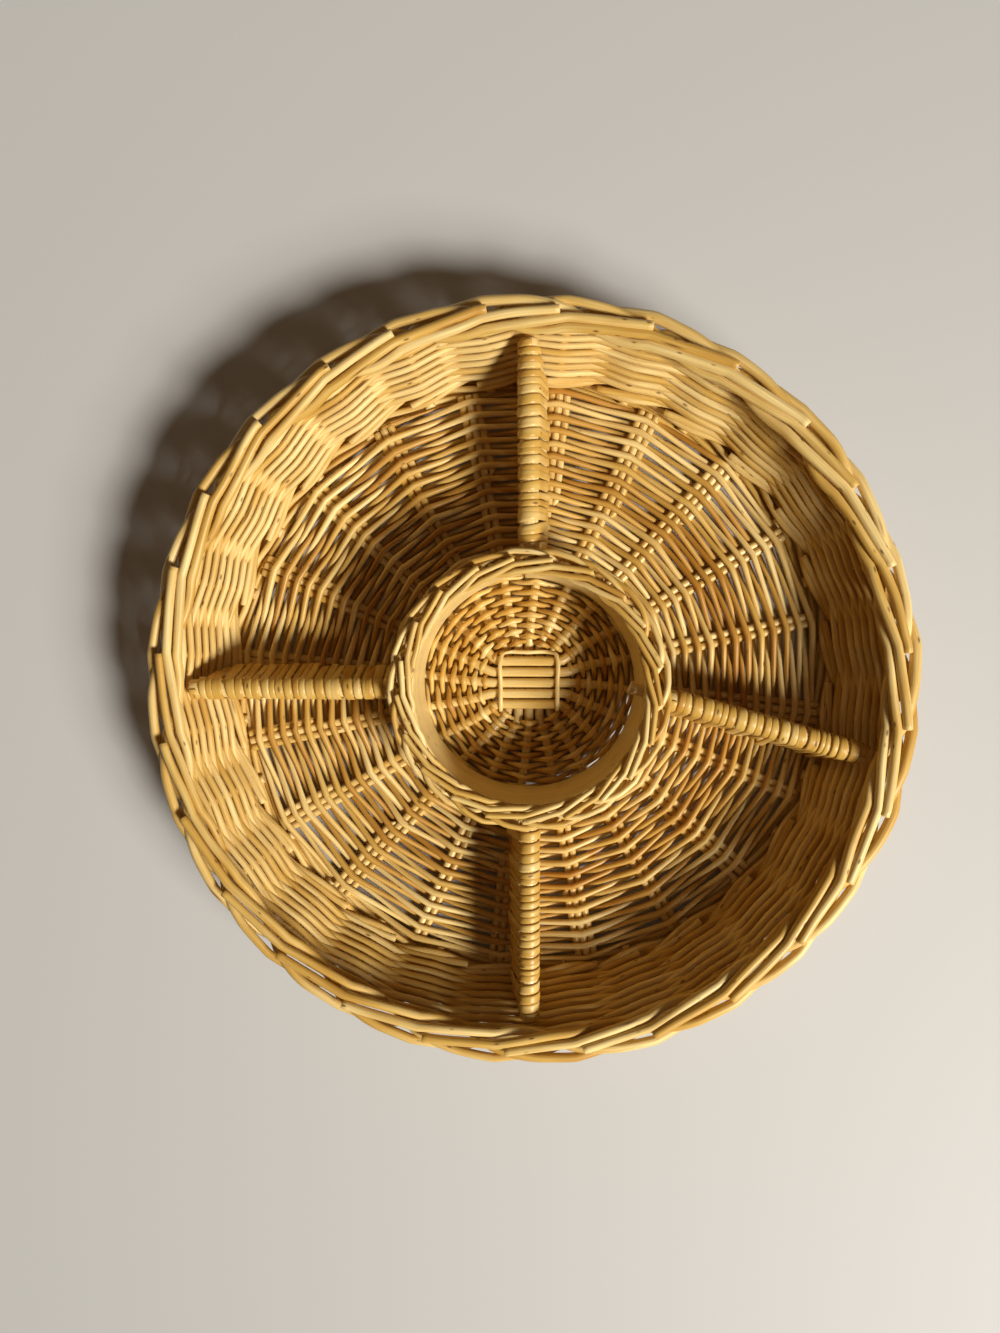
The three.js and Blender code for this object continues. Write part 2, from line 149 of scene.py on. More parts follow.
class TraySizes(bpy.types.PropertyGroup):
    """Sizes and counts of the tray"""
    rim_radius: length("Rim radius", "Outside of the border", CAD_BOX[1][0])
    height: length("Height", "Table to the top of the border", CAD_BOX[1][2])
    floor_middle: length("Floor middle", "Level of the spokes", (FLOOR_LOW + FLOOR_HIGH) / 2)
    foot_radius: length("Foot radius", "Stakes where they turn up", 157 * MM)
    stick: length("Base stick", "Thickness of a base stick", 5.1 * MM)
    stick_pitch: length("Stick pitch", "Middle to middle in the crossed sticks", 5.7 * MM)
    side_stick: length("Side stick", "Width of the sticks set in beside the spokes", 3.9 * MM)
    floor_rod: length("Floor rod", "Thickness of a floor weaver", 3.15 * MM)
    floor_row: length("Floor row", "Row to row on the floor", 3.35 * MM)
    cup_floor_rod: length("Cup floor rod", "Thickness of a weaver inside the cup", 2.8 * MM)
    cup_floor_row: length("Cup floor row", "Row to row inside the cup", 2.85 * MM)
    stake: length("Stake", "Thickness of a side stake", 5.0 * MM)
    wall_rod: length("Wall rod", "Thickness of a wall weaver", 3.7 * MM)
    wale_rod: length("Wale rod", "Thickness of a rod in the wale at the foot", 3.2 * MM)
    border_out: length("Border spread", "Rod to rod outwards in the border", 5.9 * MM)
    border_up: length("Border rise", "Rod to rod upwards in the border", 4.9 * MM)
    cup_rim_radius: length("Cup rim radius", "Outside of the cup's border", CUP_RIM_RADIUS)
    cup_height: length("Cup height", "Table to the top of the cup's border", CUP_RIM_TOP)
    cup_bore: length("Cup bore", "Inside radius of the cup's band", 56.5 * MM)
    cup_band: length("Cup band", "Thickness of the cup's band", 1.4 * MM)
    cup_stake: length("Cup stake", "Thickness of an upright in the cup's wall", 3.2 * MM)
    cup_border_rod: length("Cup border rod", "Thickness of a rod in the cup's border", 3.15 * MM)
    top_rod: length("Top rod", "Thickness of a divider's top rod", 9.4 * MM)
    foot_rod: length("Foot rod", "Thickness of a divider's foot rod", 6 * MM)
    lean: length("Lean", "How far a divider's foot stands clockwise of its top", 6 * MM)
    skein: length("Skein", "Usual width of the skein", 4.5 * MM)
    skein_thickness: length("Skein thickness", "Thickness of the skein", 1.0 * MM)
    sticks: number("Sticks", "Base sticks each way", 5)
    stakes: number("Stakes", "Side stakes round the wall", 28)
    cup_stakes: number("Cup stakes", "Uprights round the cup", 21)


class WillowColours(bpy.types.PropertyGroup):
    """Colours of the peeled and lacquered willow"""
    straw: colour("Straw", "Palest rods", (0.88, 0.67, 0.28))
    honey: colour("Honey", "Most rods", (0.645, 0.397, 0.085))
    amber: colour("Amber", "Darker rods", (0.42, 0.18, 0.02))
    brown: colour("Brown", "Darkest stains and leaf scars", (0.13, 0.05, 0.014))
    cut: colour("Cut end", "Sawn and snipped ends", (0.72, 0.52, 0.25))
    floor: colour("Floor", "The plain floor under the tray", (0.565, 0.56, 0.545))


def unit(vectors):
    """Each vector divided by its own length."""
    return vectors / np.linalg.norm(vectors, axis=-1, keepdims=True)


def around(angle, radius, level):
    """Points from an angle, a distance from the upright axis and a level.

    A point is (radius x cosine, radius x sine, level).
    """
    angle, radius, level = np.broadcast_arrays(angle, radius, level)
    return np.stack([radius * np.cos(angle), radius * np.sin(angle), level], axis=-1)


def turned_by(angle):
    """The matrix that turns rows of points about the upright axis by this angle."""
    cos, sin = math.cos(angle), math.sin(angle)
    return np.array([[cos, sin, 0], [-sin, cos, 0], [0, 0, 1]])


def sway(rng, rods, stations, waves, size):
    """Smooth unevenness along each rod.

    It is a sum of sines: wave number k has a random height and start, and the sum is scaled to
    the size.
    """
    way = np.linspace(0, 1, stations)
    wave = np.arange(1, waves + 1)[None, :, None]
    height = rng.normal(0, 1, (rods, waves)) * size / math.sqrt(waves)
    start = rng.random((rods, waves, 1))
    return np.einsum("rw,rws->rs", height, np.sin(FULL_TURN * (wave * way + start)))


def smooth_route(knots, places, samples):
    """A smooth line through the knots, read at the samples.

    Between two knots it is a cubic, whose slope at each knot is the slope from the knot before to
    the knot after.
    """
    slopes = np.gradient(knots, places, axis=0)
    cell = np.clip(np.searchsorted(places, samples, side="right") - 1, 0, len(places) - 2)
    span = np.diff(places)[cell][..., None]
    part = (samples - places[cell])[..., None] / span
    rest = 1 - part
    return (rest ** 2 * ((1 + 2 * part) * knots[cell] + part * span * slopes[cell])
            + part ** 2 * ((1 + 2 * rest) * knots[cell + 1] - rest * span * slopes[cell + 1]))


def places_along(points):
    """The distance gone at each point of a line of straight steps."""
    return np.concatenate([[0], np.cumsum(np.linalg.norm(np.diff(points, axis=0), axis=-1))])


def weave_wave(crossing, sharpness):
    """The side on which a weaver lies, from 1 to -1 and back as it passes each upright.

    It is the arcsine of a cosine, so it is nearly straight between uprights and rounded on them.
    """
    return np.arcsin(sharpness * np.cos(math.pi * crossing)) / math.asin(sharpness)


def sweep(paths, half_width, half_height=None, guide=(0, 0, 1), sides=8, tone=0.5, square=1,
          looped=False):
    """Rods as surfaces of two parameters: the way along the path and the turn round it.

    The run is the slope of the path. The side is the guide less its share along the run, and the
    rise is run x side. A point is path + half width c side + half height s rise, where c and s
    are the cosine and the sine of the turn raised to the power square with their signs kept.
    Each end has a smaller, blunt ring.
    """
    rods, stations, _ = paths.shape
    half_width = np.broadcast_to(half_width, (rods, stations))
    if half_height is None:
        half_height = half_width
    half_height = np.broadcast_to(half_height, (rods, stations))
    tone = np.broadcast_to(tone, (rods, stations))
    if looped:
        runs = unit(np.roll(paths, -1, axis=1) - np.roll(paths, 1, axis=1))
    else:
        runs = unit(np.gradient(paths, axis=1))
    guide = np.broadcast_to(guide, paths.shape)
    side = unit(guide - runs * np.sum(guide * runs, axis=-1, keepdims=True))
    rise = np.cross(runs, side)
    steps = np.linalg.norm(np.diff(paths, axis=1, prepend=paths[:, :1]), axis=-1)
    along = np.cumsum(steps, axis=1)
    cut = np.zeros((rods, stations))
    if not looped:
        ring = np.r_[0, np.arange(stations), stations - 1]
        push = np.zeros(stations + 2)
        push[[0, -1]] = -END_PUSH, END_PUSH
        shrink = np.ones(stations + 2)
        shrink[[0, -1]] = END_SHRINK
        half_width, half_height, tone, along, side, rise, runs = (
            values[:, ring] for values in (half_width, half_height, tone, along, side, rise, runs))
        paths = paths[:, ring] + runs * (push * half_height)[..., None]
        half_width, half_height = half_width * shrink, half_height * shrink
        cut = np.zeros((rods, stations + 2))
        cut[:, [0, -1]] = 1
    turn = FULL_TURN * np.arange(sides) / sides
    c, s = (np.sign(wave) * np.abs(wave) ** square for wave in (np.cos(turn), np.sin(turn)))
    across = half_width[..., None] * c
    upward = half_height[..., None] * s
    points = (paths[:, :, None] + across[..., None] * side[:, :, None]
              + upward[..., None] * rise[:, :, None])
    offset = GRAIN_STEP * np.arange(rods)[:, None, None]
    grain = np.broadcast_arrays(along[..., None] + offset, across + offset, upward)
    return SimpleNamespace(
        points=points, grain=np.stack(grain, axis=-1), looped=looped,
        tone=np.broadcast_to(tone[..., None], across.shape),
        cut=np.broadcast_to(cut[..., None], across.shape))


def faces_of(bundle, first):
    """Faces of a swept bundle: four-sided ones between neighbouring rings, and flat end faces."""
    rods, rings, sides = bundle.tone.shape
    corner = first + np.arange(rods * rings * sides).reshape(rods, rings, sides)
    turned = np.roll(corner, -1, axis=2)
    if bundle.looped:
        ahead, turned_ahead = np.roll(corner, -1, axis=1), np.roll(turned, -1, axis=1)
        quads = np.stack([corner, turned, turned_ahead, ahead], axis=-1)
        return quads.reshape(-1, 4), np.empty((0, sides), int)
    quads = np.stack([corner[:, :-1], turned[:, :-1], turned[:, 1:], corner[:, 1:]], axis=-1)
    return quads.reshape(-1, 4), np.concatenate([corner[:, 0, ::-1], corner[:, -1]])


def willow(name):
    """Peeled willow, finished as its name says.

    The colour is a ramp from straw over honey to amber, read at the rod's tone plus a cloudy
    stain. Streaks along the grain draw it to amber, leaf scars and specks to brown, and cut ends
    to a colour of their own. The roughness follows the streaks and is greater on cut ends. The
    bump is the sum of streaks and clouds.
    """
    if name in bpy.data.materials:
        return bpy.data.materials[name]
    finish = SimpleNamespace(**(PLAIN_FINISH | FINISHES[name]))
    colours = bpy.context.scene.willow_colours
    straw, honey, amber, brown, cut_end = (
        (*getattr(colours, title), 1) for title in ("straw", "honey", "amber", "brown", "cut"))
    material = bpy.data.materials.new(name)
    material.use_nodes = True
    tree = material.node_tree
    shader = tree.nodes["Principled BSDF"]

    def add(kind, **settings):
        """A new node of this kind, with these settings."""
        node = tree.nodes.new(kind)
        for key, value in settings.items():
            setattr(node, key, value)
        return node

    def put(node, socket, value):
        """Link a socket to another node's output, or set its value."""
        if isinstance(value, bpy.types.NodeSocket):
            tree.links.new(value, node.inputs[socket])
        else:
            node.inputs[socket].default_value = value

    def kept(title, output):
        """What the mesh keeps at its points under this name."""
        return add("ShaderNodeAttribute", attribute_name=title).outputs[output]

    def stretched(long, wide):
        """The grain, divided by a length along the rod and by a width across it."""
        node = add("ShaderNodeMapping")
        put(node, "Vector", grain)
        put(node, "Scale", (1 / long, 1 / wide, 1 / wide))
        return node.outputs["Vector"]

    def noise(vector, detail):
        """Smooth noise with one patch to a unit."""
        node = add("ShaderNodeTexNoise")
        put(node, "Vector", vector)
        put(node, "Scale", 1.0)
        put(node, "Detail", detail)
        return node.outputs["Fac"]

    def span(value, low, high, to_low, to_high):
        """A value carried in proportion from one range to another, and held at its ends."""
        node = add("ShaderNodeMapRange")
        for socket, amount in (("Value", value), ("From Min", low), ("From Max", high),
                               ("To Min", to_low), ("To Max", to_high)):
            put(node, socket, amount)
        return node.outputs["Result"]

    def sums(kind, first, second):
        """The sum or the product of two values."""
        node = add("ShaderNodeMath", operation=kind)
        put(node, 0, first)
        put(node, 1, second)
        return node.outputs["Value"]

    def mixed(share, first, second):
        """A colour the given share of the way from the first to the second."""
        node = add("ShaderNodeMix", data_type="RGBA")
        put(node, 0, share)
        put(node, 6, first)
        put(node, 7, second)
        return node.outputs[2]

    def marks(long, wide, past, near, far):
        """Dark marks in a few cells of a pattern that is stretched along the grain.

        A cell has a mark if its random value lies past the given one, and the mark fades out from
        the near to the far distance from the cell's middle.
        """
        cells = add("ShaderNodeTexVoronoi")
        put(cells, "Vector", stretched(long, wide))
        put(cells, "Scale", 1.0)
        chosen = span(cells.outputs["Color"], past, past + 0.04, 0.0, 1.0)
        return sums("MULTIPLY", span(cells.outputs["Distance"], near, far, 0.85, 0.0), chosen)

    grain, tone, cut = kept("grain", "Vector"), kept("tone", "Fac"), kept("cut", "Fac")
    streak = noise(stretched(finish.streak_length, finish.streak_width), 3)
    cloud = noise(stretched(45 * MM, 9 * MM), 2)
    stain = span(cloud, 0.3, 0.7, -0.22 - finish.pale, 0.22 - finish.pale)
    ramp = add("ShaderNodeValToRGB")
    stops = ramp.color_ramp.elements
    stops[0].position, stops[0].color = 0.08, straw
    stops[1].position, stops[1].color = 0.95, amber
    stops.new(0.5).color = honey
    put(ramp, "Fac", sums("ADD", tone, stain))
    fibre = span(streak, 0.35, 0.6, finish.streaks, 0.0)
    wood = mixed(fibre, ramp.outputs["Color"], amber)
    scars = marks(long=38 * MM, wide=4.5 * MM, past=0.62, near=0.05, far=0.2)
    wood = mixed(scars, wood, brown)
    specks = marks(long=8 * MM, wide=3 * MM, past=0.68, near=0.1, far=0.24)
    wood = mixed(specks, wood, brown)
    put(shader, "Base Color", mixed(cut, wood, cut_end))
    lacquer = span(streak, 0.3, 0.7, finish.rough - 0.08, finish.rough + 0.1)
    sawn = sums("MULTIPLY", cut, 0.35)
    put(shader, "Roughness", sums("ADD", lacquer, sawn))
    put(shader, "Specular Tint", (1.0, 0.92, 0.74, 1))
    put(shader, "Coat Weight", finish.coat)
    put(shader, "Coat Roughness", 0.3)
    bump = add("ShaderNodeBump")
    put(bump, "Height", sums("ADD", streak, cloud))
    put(bump, "Strength", 0.35)
    put(bump, "Distance", 0.25 * MM)
    put(shader, "Normal", bump.outputs["Normal"])
    return material


def new_piece(name, bundles, finish, nodes=()):
    """One mesh object from swept bundles, with grain, tone and cut ends kept at its points."""
    points = np.concatenate([bundle.points.reshape(-1, 3) for bundle in bundles])
    corners, sizes, smooth = [], [], []
    first = 0
    for bundle in bundles:
        quads, ends = faces_of(bundle, first)
        first += bundle.tone.size
        corners += [quads.ravel(), ends.ravel()]
        sizes += [np.full(len(quads), 4), np.full(len(ends), ends.shape[1])]
        smooth += [np.ones(len(quads), bool), np.zeros(len(ends), bool)]
    corners, sizes, smooth = (np.concatenate(parts) for parts in (corners, sizes, smooth))
    mesh = bpy.data.meshes.new(name)
    mesh.vertices.add(len(points))
    mesh.vertices.foreach_set("co", points.astype(np.float32).ravel())
    mesh.loops.add(len(corners))
    mesh.loops.foreach_set("vertex_index", corners.astype(np.int32))
    mesh.polygons.add(len(sizes))
    mesh.polygons.foreach_set("loop_start", (np.cumsum(sizes) - sizes).astype(np.int32))
    mesh.polygons.foreach_set("use_smooth", smooth)
    for title, kind, field, width in POINT_FIELDS:
        values = np.concatenate([getattr(bundle, title).reshape(-1, width) for bundle in bundles])
        attribute = mesh.attributes.new(title, kind, "POINT")
        attribute.data.foreach_set(field, values.astype(np.float32).ravel())
    mesh.update(calc_edges=True)
    if mesh.validate():
        raise RuntimeError(f"{name} has broken faces")
    mesh.materials.append(willow(finish))
    piece = bpy.data.objects.new(name, mesh)
    bpy.context.scene.collection.objects.link(piece)
    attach(piece, "root")
    if nodes:
        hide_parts(*nodes)


def new_pieces(name, bundle, finish, node):
    """A piece for each rod of a swept bundle, for the node with the same number."""
    for rod in range(len(bundle.points)):
        one = SimpleNamespace(looped=bundle.looped)
        for field in ("points", "grain", "tone", "cut"):
            setattr(one, field, getattr(bundle, field)[rod:rod + 1])
        new_piece(f"{name}_{rod + 1}", [one], finish, [f"{node}_{rod + 1}"])


def layout(sizes):
    """Levels, circles and turns that several pieces share.

    The wall's stakes stop below the border's top by the border's own height, and inside its edge
    by the border's own reach. The cup's uprights do the same below the cup's border.
    """
    made = SimpleNamespace()
    made.spokes = 4 * sizes.sticks
    made.spoke_spacing = FULL_TURN / made.spokes
    made.stake_spacing = FULL_TURN / sizes.stakes
    made.stake_phase = math.radians(7.3)
    made.cup_phase = math.radians(10.9)
    made.floor = sizes.floor_middle
    made.floor_lift = (SIDE_STICK_FLAT * sizes.side_stick + sizes.floor_rod) / 2
    made.floor_top = made.floor + made.floor_lift + sizes.floor_rod / 2
    made.foot = sizes.foot_radius
    made.wall_top = sizes.height - BORDER_TOP * sizes.border_up - sizes.stake / 2
    made.wall_top_radius = sizes.rim_radius - BORDER_REACH * sizes.border_out - sizes.stake / 2
    made.rise = made.wall_top - made.floor
    made.flare = made.wall_top_radius - made.foot
    made.slant = math.hypot(made.rise, made.flare)
    made.wall_reach = 2.4 * MM
    made.wall_inset = (
        (made.wall_reach + sizes.wall_rod / 2 + 0.2 * MM) * made.slant / made.rise)
    rod = sizes.cup_border_rod
    made.cup_border_up = rod * 1.08
    made.cup_border_out = rod * 1.45
    made.cup_top = sizes.cup_height - BORDER_TOP * made.cup_border_up - rod / 2
    made.cup_radius = sizes.cup_rim_radius - BORDER_REACH * made.cup_border_out - rod / 2
    made.cup_outside = made.cup_radius + sizes.cup_stake / 2 + 2.2 * MM
    return made


def plan(context):
    """The sizes that are set in the scene, and the layout that follows from them."""
    sizes = context.scene.tray_sizes
    return sizes, layout(sizes)


def spoke_turn(radius):
    """How far the weave has turned the spokes at this radius.

    It grows in proportion from nothing at the cross to six degrees at the cup.
    """
    cross, run = 18 * MM, 52 * MM
    return math.radians(-6) * np.clip((radius - cross) / run, 0, 1)


def on_wall(made, angle, climb, outwards):
    """A point on the slanting wall.

    It lies at an angle, a way up the slant from the foot, and a distance out from the stakes
    square to the slant.
    """
    radius = made.foot + (climb * made.flare + outwards * made.rise) / made.slant
    level = made.floor + (climb * made.rise - outwards * made.flare) / made.slant
    return around(angle, radius, level)


def wall_normal(made, angle):
    """The outward direction square to the slanting wall at this angle."""
    return around(angle, made.rise / made.slant, np.full_like(angle, -made.flare / made.slant))


def wall_radius(made, level):
    """The inside of the wall at this level: the foot plus the flare so far, less the inset."""
    return made.foot + (level - made.floor) * made.flare / made.rise - made.wall_inset


def wall_level(made, radius):
    """The level of the inside of the wall at this radius, by the same slope."""
    return made.floor + (radius + made.wall_inset - made.foot) * made.rise / made.flare


def stick_knots(sizes, made, up):
    """Knots of the sticks that lie one way, from end to end.

    In the cross they are parallel, a pitch apart and at their own height over the floor's middle.
    From the bend on each follows its spoke, turns with the weave and comes to the floor's level.
    """
    place = np.arange(sizes.sticks) - (sizes.sticks - 1) / 2
    aside = place * sizes.stick_pitch
    bend = np.sqrt(CROSS_BEND ** 2 - aside ** 2)

    def half(end):
        """One half of each stick, out from the middle; the sign of the end mirrors its place."""
        level = np.full_like(bend, made.floor + up)
        cross = [np.stack([bend * part, end * aside, level], axis=-1) for part in (0.2, 0.65, 1)]
        spoke = [
            around(end * place * made.spoke_spacing + spoke_turn(radius), radius,
                   made.floor + up * max(0, 1 - radius / ONE_LEVEL)) for radius in SPOKE_RADII]
        return np.stack(cross + spoke, axis=1)

    back = half(-1)[:, ::-1] * (-1, -1, 1)
    return np.concatenate([back, half(1)], axis=1)


def side_sticks(rng, sizes, made, hand, nearest, farthest, kept):
    """Sticks set in on one hand of the spokes.

    A stick starts at a random radius and runs straight out to the end of the spokes. It lies a
    little over its own width aside of the spoke, and is thinner and nearer to it at its start.
    """
    stations = 40
    angle = np.arange(made.spokes) * made.spoke_spacing + spoke_turn(70 * MM)
    chosen = np.flatnonzero(rng.random(made.spokes) < kept)
    count = len(chosen)
    start = rng.uniform(nearest, farthest, count)[:, None] * MM
    way = np.linspace(0, 1, stations)
    radius = start + (SPOKE_RADII[-1] - start) * way
    offset = hand * (sizes.side_stick * 1.03) * np.minimum(1, way * 8 + 0.55)
    offset = offset + sway(rng, count, stations, 3, 0.15 * MM)
    level = made.floor + sway(rng, count, stations, 4, 0.15 * MM)
    across = around(angle[chosen] + math.pi / 2, 1, 0)[:, None]
    path = around(angle[chosen][:, None], radius, level) + offset[..., None] * across
    half_width = sizes.side_stick / 2 * np.minimum(1, 0.35 + way * 9) * np.ones((count, 1))
    tone = 0.2 + 0.35 * rng.random((count, 1))
    return sweep(path, SIDE_STICK_FLAT * half_width, half_width, tone=tone, square=0.8)


class TRAY_OT_base_sticks(bpy.types.Operator):
    """Cross five sticks over five, open them out to spokes and set more sticks in beside them"""
    bl_idname = "tray.base_sticks"
    bl_label = "Base sticks"
    bl_options = {"REGISTER", "UNDO"}

    def execute(self, context):
        sizes, made = plan(context)
        rng = np.random.default_rng(11)
        stations = 121
        over = sizes.stick / 2 + 0.05 * MM
        for way, turn, up in (("across", 0, over), ("along", math.pi / 2, -over)):
            knots = stick_knots(sizes, made, up) @ turned_by(turn)
            for stick in range(sizes.sticks):
                places = places_along(knots[stick])
                samples = np.linspace(0, places[-1], stations)
                path = smooth_route(knots[stick], places, samples)[None]
                path[..., 2] += sway(rng, 1, stations, 9, 0.12 * MM)
                # A stick is thinner away from the cross.
                out = np.abs(samples / places[-1] - 0.5) * 2
                thinned = np.interp(out, [0, 0.14, 0.45, 1], [1, 1, 0.84, 0.8])
                half_width = sizes.stick / 2 * thinned
                tone = 0.3 + 0.25 * rng.random()
                rod = sweep(
                    path, 0.94 * half_width, half_width, sides=10, tone=tone, square=0.85)
                new_piece(
                    f"spoke_stick_{way}_{stick + 1}", [rod], "peeled_stick",
                    [f"base_stick_{way}_{stick + 1}"])
        bundles = [side_sticks(rng, sizes, made, *settings) for settings in SIDE_STICK_SETS]
        new_piece("spoke_side_sticks", bundles, "peeled_stick")
        return {"FINISHED"}


class TRAY_OT_slath_tie(bpy.types.Operator):
    """Lay the thin strand that holds the crossed sticks"""
    bl_idname = "tray.slath_tie"
    bl_label = "Tie of the cross"
    bl_options = {"REGISTER", "UNDO"}

    def execute(self, context):
        sizes, made = plan(context)
        stick = sizes.stick / 2
        edge = (sizes.sticks - 1) / 2 * sizes.stick_pitch + stick + 1.0 * MM
        lift = stick + 0.5 * MM
        high = made.floor + stick + lift
        low = made.floor - stick + lift + 0.4 * MM
        # Half of its way: up at a corner, over the upper sticks and down to the lower ones.
        first = np.array([
            [-edge, -edge, made.floor], [-edge, -edge * 0.98, made.floor + 3 * MM],
            [-edge, -edge * 0.8, high], [-edge, 0, high + 0.2 * MM], [-edge, edge * 0.8, high],
            [-edge * 0.93, edge * 1.02, high - 1.6 * MM],
            [-edge * 0.7, edge * 1.08, low + 1.2 * MM],
        ])
        middle = [[0, edge * 1.08, low + 1.3 * MM]]
        knots = np.concatenate([first, middle, first[::-1] * (-1, 1, 1)])
        places = places_along(knots)
        path = smooth_route(knots, places, np.linspace(0, places[-1], 160))[None]
        strand = sweep(path, 1.15 * MM, 0.85 * MM, guide=(1.0, 0.35, 0.0), tone=0.12)
        new_piece("cross_tie", [strand], "peeled_stick", ["slath_tie"])
        return {"FINISHED"}


def floor_rods(rng, made, inner, outer, row, half, swell, lift, straight, fade, sharpness):
    """Two weavers that chase each other outwards, over one spoke and under the next.

    They start on opposite sides. The radius grows by two rows in a round; the level is the middle
    of the floor plus the lift times the weave wave; and between two spokes the rod keeps to the
    chord, by its share of straightness, which may fade towards the round edge. A rod is pressed
    wider, by the swell, where it lies over or under a spoke, and tapers at both ends. Its tone
    changes where one rod is joined to the next.
    """
    joins, joins_in_round = 32, 0.83
    crossings = int((outer - inner) / (2 * row) * made.spokes)
    stations = crossings * 9 + 1
    crossing = np.linspace(0, crossings, stations)
    start = np.array([[0], [1]])
    radius = inner + row * 2 * crossing / made.spokes
    gone = crossing % 1 - 0.5
    chord = math.cos(made.spoke_spacing / 2) / np.cos(made.spoke_spacing * gone)
    share = straight * (1 - fade * (radius / outer) ** 4)
    radius = radius * (1 + share * (chord - 1)) + sway(rng, 2, stations, 260, 0.07 * row)
    angle = crossing * made.spoke_spacing + start * math.pi + spoke_turn(radius)
    wave = weave_wave(crossing + start, sharpness)
    level = made.floor + lift * wave + sway(rng, 2, stations, 120, 0.04 * row)
    mark = (crossing / made.spokes * joins_in_round + 0.5 * start).astype(int)
    tone = np.take(rng.uniform(0.12, 0.82, (2, joins)), mark + joins * start)
    ends = np.minimum(1, 0.4 + np.minimum(crossing, crossings - crossing) / 4)
    half_width = half * ends * (1 + sway(rng, 2, stations, 90, 0.07))
    broad = half_width * (1 + swell * (wave ** 2 - 0.4))
    return sweep(around(angle, radius, level), half_width, broad, tone=tone)


class TRAY_OT_floor_weave(bpy.types.Operator):
    """Weave the floor from the cup out to the foot of the wall"""
    bl_idname = "tray.floor_weave"
    bl_label = "Floor weave"
    bl_options = {"REGISTER", "UNDO"}

    def execute(self, context):
        sizes, made = plan(context)
        bundle = floor_rods(
            np.random.default_rng(23), made, inner=made.cup_outside, outer=made.foot - 3.6 * MM,
            row=sizes.floor_row, half=sizes.floor_rod / 2, swell=0.2, lift=made.floor_lift,
            straight=0.95, fade=0.1, sharpness=0.95)
        new_pieces("floor_rod", bundle, "floor_willow", "floor_weaver")
        return {"FINISHED"}


class TRAY_OT_cup_floor(bpy.types.Operator):
    """Weave the tight floor inside the cup"""
    bl_idname = "tray.cup_floor"
    bl_label = "Cup floor"
    bl_options = {"REGISTER", "UNDO"}

    def execute(self, context):
        sizes, made = plan(context)
        bundle = floor_rods(
            np.random.default_rng(31), made, inner=20.5 * MM, outer=sizes.cup_bore + 3.5 * MM,
            row=sizes.cup_floor_row, half=sizes.cup_floor_rod / 2, swell=0.25,
            lift=(sizes.stick * 0.86 + sizes.cup_floor_rod) / 2,
            straight=0.6, fade=0.6, sharpness=0.9)
        new_pieces("cup_floor_rod", bundle, "floor_willow", "cup_floor_weaver")
        return {"FINISHED"}


def border_rods(rng, count, phase, knots, out, up, rod, stations, uneven, swing):
    """Stakes that turn down into a border, all alike but for a little unevenness.

    The knots give spacings gone, radius and level up the wall; the route adds the border's own,
    and a smooth line through all of them is read at even steps up to the cut end. Between two
    stakes a rod in the border keeps to the chord, so it bends at the stakes. The rods were sorted
    by thickness before they were set in, so it changes round the rim as a cosine with the given
    swing.
    """
    spacing = FULL_TURN / count
    top = knots[-1]
    border = BORDER_ROUTE * (1, out, up) + (0, top[1], top[2])
    knots = np.concatenate([knots[:-1], border])
    places = places_along(around(knots[:, 0] * spacing, knots[:, 1], knots[:, 2]))
    end = np.clip(BORDER_END + rng.normal(0, 0.07, count), 0, LONGEST_END)
    stop = np.interp(end, BORDER_ROUTE[:, 0], places[-len(BORDER_ROUTE):])
    samples = stop[:, None] * np.linspace(0, 1, stations)
    gone, radius, level = np.moveaxis(smooth_route(knots, places, samples), -1, 0)
    loose = np.clip(gone * 2, 0, 1) * uneven
    chord = math.cos(spacing / 2) / np.cos(spacing * (gone % 1 - 0.5))
    radius = radius * chord + loose * sway(rng, count, stations, 6, 1)
    level = level + loose * sway(rng, count, stations, 5, 0.6)
    start = phase - spacing * np.arange(count) + rng.normal(0, math.radians(0.25), count)
    angle = start[:, None] - gone * spacing
    thickest = math.radians(45)
    sorted_rods = 1 + swing * np.cos(start[:, None] - thickest) + rng.normal(0, 0.05, (count, 1))
    taper = np.linspace(1.05, 0.9, stations) * sorted_rods
    return angle, radius, level, rod / 2 * taper


class TRAY_OT_side_stakes(bpy.types.Operator):
    """Bend the side stakes up the wall and lay them down into the rolled border"""
    bl_idname = "tray.side_stakes"
    bl_label = "Side stakes and border"
    bl_options = {"REGISTER", "UNDO"}

    def execute(self, context):
        sizes, made = plan(context)
        rng = np.random.default_rng(47)
        stations = 110
        climb = np.array([0.22, 0.5, 0.72, 0.88, 1])
        aside = np.array([0, 0, 0, 0.025, 0])
        foot = [
            [0, made.foot - 4 * MM, made.floor], [0, made.foot - 2.5 * MM, made.floor],
            [0, made.foot + 1.2 * MM, made.floor + 2.2 * MM]]
        wall = np.stack(
            [aside, made.foot + climb * made.flare, made.floor + climb * made.rise], axis=-1)
        angle, radius, level, half_width = border_rods(
            rng, sizes.stakes, made.stake_phase, np.concatenate([foot, wall]), sizes.border_out,
            sizes.border_up, sizes.stake, stations, uneven=0.42 * MM, swing=0.08)
        tone = rng.uniform(0.12, 0.62, (sizes.stakes, 1))
        tone = tone + sway(rng, sizes.stakes, stations, 3, 0.08)
        bundle = sweep(around(angle, radius, level), half_width, guide=wall_normal(made, angle),
                       sides=12, tone=tone)
        new_pieces("border_stake", bundle, "border_willow", "side_stake")
        return {"FINISHED"}


